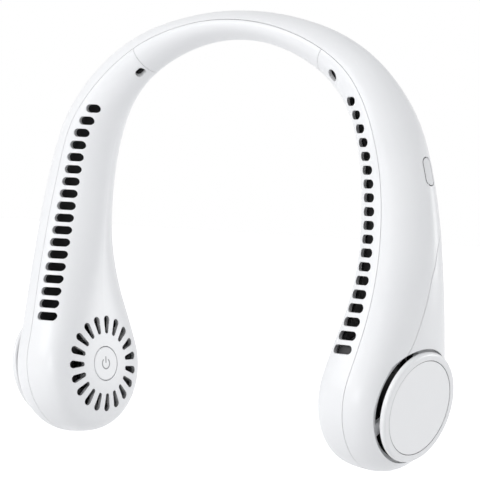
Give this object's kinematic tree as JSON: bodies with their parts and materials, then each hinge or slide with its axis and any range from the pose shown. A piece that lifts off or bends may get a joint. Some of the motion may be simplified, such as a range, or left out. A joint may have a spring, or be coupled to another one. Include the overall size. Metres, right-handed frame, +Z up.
{
  "type": "neck fan",
  "caption": "U-shaped wearable neck fan: a hollow band with slotted arms that swell into two round fan drums, each with a ring grille inside and a raised disc outside.",
  "frame": {"origin": "inside of the band's crown, on the middle plane, where it rests on the neck", "axes": "+X from the left arm to the right arm, -Y the front edge seen in the picture, +Z up; the drums hang below the origin"},
  "size_m": [0.2146, 0.0594, 0.1859],
  "materials": {
    "white_shell": "satin white moulding",
    "white_cap": "polished white",
    "white_plate": "fine matt white",
    "white_silicone": "soft white silicone",
    "duct_black": "matt black moulding",
    "impeller_black": "satin black moulding",
    "bracket_grey": "matt dark grey moulding",
    "bronze": "sintered bronze",
    "steel": "bright steel",
    "core_steel": "laminated steel",
    "copper_wire": "enamelled copper wire",
    "ferrite": "sintered ferrite",
    "cell_foil": "foil pouch",
    "circuit_board": "green circuit board",
    "switch_black": "black moulding",
    "loom_sleeve": "black sleeve"
  },
  "bodies": {
    "band": {"outer_shell": "white_shell", "neck_inner_cover": "white_shell", "charge_socket": "steel", "charge_board": "circuit_board", "main_board": "circuit_board", "power_switch": "switch_black", "neck_loom": "loom_sleeve", "disc_screws": "steel", "bracket_screws": "steel", "left_inner_shell": "white_shell", "left_disc_ring": "white_cap", "left_disc_plate": "white_plate", "left_air_duct": "duct_black", "left_battery_cell": "cell_foil", "left_motor_bracket": "bracket_grey", "left_bearings": "bronze", "left_stator_core": "core_steel", "left_stator_coils": "copper_wire", "right_inner_shell": "white_shell", "right_disc_ring": "white_cap", "right_disc_plate": "white_plate", "right_air_duct": "duct_black", "right_battery_cell": "cell_foil", "right_motor_bracket": "bracket_grey", "right_bearings": "bronze", "right_stator_core": "core_steel", "right_stator_coils": "copper_wire"},
    "left_rotor": {"left_impeller": "impeller_black", "left_rotor_cup": "steel", "left_rotor_magnet": "ferrite", "left_motor_shaft": "steel"},
    "right_rotor": {"right_impeller": "impeller_black", "right_rotor_cup": "steel", "right_rotor_magnet": "ferrite", "right_motor_shaft": "steel"},
    "button": {"power_button": "white_cap"},
    "flap": {"port_flap": "white_silicone"}
  },
  "joints": [
    {"name": "left_fan_spin", "type": "hinge", "parent": "band", "child": "left_rotor", "pos_m": [-0.08479, 0, -0.14389], "axis": [-0.9956, 0, -0.0938], "continuous": true},
    {"name": "right_fan_spin", "type": "hinge", "parent": "band", "child": "right_rotor", "pos_m": [0.08479, 0, -0.14389], "axis": [0.9956, 0, -0.0938], "continuous": true},
    {"name": "button_press", "type": "slide", "parent": "band", "child": "button", "axis": [-0.9956, 0, -0.0938], "range_m": [0, 0.0005], "stiffness_N_per_m": 1000, "springref_m": -0.0005},
    {"name": "flap_hinge", "type": "hinge", "parent": "band", "child": "flap", "pos_m": [0.10281, 0, -0.05774], "axis": [0, 1, 0], "range_deg": [0, 110]}
  ]
}
